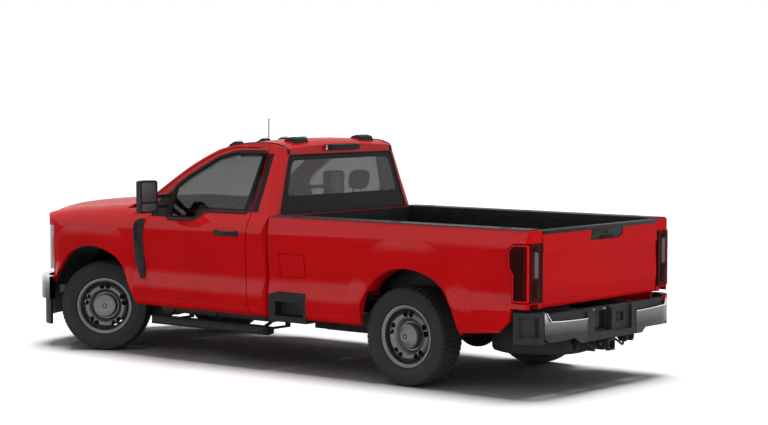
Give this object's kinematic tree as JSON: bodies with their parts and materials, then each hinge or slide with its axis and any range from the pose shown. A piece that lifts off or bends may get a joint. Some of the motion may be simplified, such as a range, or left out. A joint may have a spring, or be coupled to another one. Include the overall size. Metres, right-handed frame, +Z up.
{
  "type": "pickup truck with single cab, long bed and four-wheel drive",
  "caption": "Full-size pickup truck with a single cab, long open load bed, steered front wheels, opening doors, bonnet, tailgate and fuel door, standing on its wheels.",
  "frame": {"origin": "on the ground, on the centreline, halfway between the faces of the front and rear bumpers", "axes": "+X forward along the truck, +Y to the truck's left, +Z up"},
  "size_m": [5.8878, 2.69, 2.0619],
  "materials": {
    "body_paint": "gloss red paint",
    "chassis_black": "satin black chassis paint",
    "wheel_silver": "satin silver-grey paint",
    "chrome_trim": "bright chrome",
    "tyre_rubber": "worn black rubber",
    "black_plastic": "grained black plastic",
    "grey_trim": "grained dark grey plastic",
    "seat_vinyl": "grey vinyl",
    "window_glass": "tinted glass",
    "lamp_red": "red lens",
    "lamp_front": "clear lens over black housing",
    "bed_black": "textured black bed liner",
    "steel_dark": "dull bare steel",
    "engine_iron": "cast iron and aluminium, dirty"
  },
  "bodies": {
    "chassis": {"frame": "chassis_black", "driveline": "engine_iron", "exhaust": "steel_dark", "fuel_tank": "black_plastic", "front_axle": "chassis_black", "rear_axle": "chassis_black", "spare_wheel": "tyre_rubber", "cab_shell": "body_paint", "roof_panel": "body_paint", "windscreen": "window_glass", "rear_window": "window_glass", "front_wings": "body_paint", "arch_liners": "black_plastic", "nose_support": "chassis_black", "headlamps": "lamp_front", "grille": "black_plastic", "front_bumper": "chrome_trim", "air_dam": "black_plastic", "bed_tub": "bed_black", "bed_sides": "body_paint", "bed_steps": "black_plastic", "bed_rail_caps": "black_plastic", "tail_lamps": "lamp_red", "rear_bumper": "chrome_trim", "bumper_step": "grey_trim", "hitch_receiver": "chassis_black", "running_boards": "black_plastic", "dashboard": "grey_trim", "steering_wheel": "grey_trim", "seats": "seat_vinyl", "roof_lamps": "black_plastic", "antenna": "black_plastic"},
    "steer_left": {"knuckle_left": "engine_iron"},
    "steer_right": {"knuckle_right": "engine_iron"},
    "door_left": {"door_left": "body_paint", "door_glass_left": "window_glass", "mirror_left": "black_plastic"},
    "door_right": {"door_right": "body_paint", "door_glass_right": "window_glass", "mirror_right": "black_plastic"},
    "bonnet": {"bonnet": "body_paint"},
    "tailgate": {"tailgate": "body_paint"},
    "fuel_door": {"fuel_door": "body_paint"},
    "wheel_front_left": {"rim_front_left": "wheel_silver", "tyre_front_left": "tyre_rubber"},
    "wheel_front_right": {"rim_front_right": "wheel_silver", "tyre_front_right": "tyre_rubber"},
    "wheel_rear_left": {"rim_rear_left": "wheel_silver", "tyre_rear_left": "tyre_rubber"},
    "wheel_rear_right": {"rim_rear_right": "wheel_silver", "tyre_rear_right": "tyre_rubber"}
  },
  "joints": [
    {"name": "steer_left", "type": "hinge", "parent": "chassis", "child": "steer_left", "pos_m": [1.974, 0.76, 0.4], "axis": [0, 0, 1], "range_deg": [-68, 4]},
    {"name": "steer_right", "type": "hinge", "parent": "chassis", "child": "steer_right", "pos_m": [1.974, -0.76, 0.4], "axis": [0, 0, 1], "range_deg": [-68, 4]},
    {"name": "spin_front_left", "type": "hinge", "parent": "steer_left", "child": "wheel_front_left", "pos_m": [1.9173, 0.85074, 0.4], "axis": [-0.5299, 0.848, 0], "continuous": true},
    {"name": "spin_front_right", "type": "hinge", "parent": "steer_right", "child": "wheel_front_right", "pos_m": [2.0307, -0.85074, 0.4], "axis": [-0.5299, 0.848, 0], "continuous": true},
    {"name": "spin_rear_left", "type": "hinge", "parent": "chassis", "child": "wheel_rear_left", "pos_m": [-1.623, 0.853, 0.4], "axis": [0, 1, 0], "continuous": true},
    {"name": "spin_rear_right", "type": "hinge", "parent": "chassis", "child": "wheel_rear_right", "pos_m": [-1.623, -0.853, 0.4], "axis": [0, 1, 0], "continuous": true},
    {"name": "door_left_hinge", "type": "hinge", "parent": "chassis", "child": "door_left", "pos_m": [1.31276, 0.96, 0.8], "axis": [-0.026, 0, -0.9997], "range_deg": [0, 68]},
    {"name": "door_right_hinge", "type": "hinge", "parent": "chassis", "child": "door_right", "pos_m": [1.31276, -0.96, 0.8], "axis": [0.026, 0, 0.9997], "range_deg": [0, 68]},
    {"name": "bonnet_hinge", "type": "hinge", "parent": "chassis", "child": "bonnet", "pos_m": [1.66, 0, 1.284], "axis": [0, -1, 0], "range_deg": [0, 50]},
    {"name": "tailgate_hinge", "type": "hinge", "parent": "chassis", "child": "tailgate", "pos_m": [-2.786, 0, 0.728], "axis": [0, -1, 0], "range_deg": [0, 90]},
    {"name": "fuel_door_hinge", "type": "hinge", "parent": "chassis", "child": "fuel_door", "pos_m": [-0.31, 0.996, 0.897], "axis": [0, -0.0322, -0.9995], "range_deg": [0, 95]}
  ],
  "couplings": [
    {"joint": "steer_right", "follows": "steer_left", "ratio": 1}
  ]
}
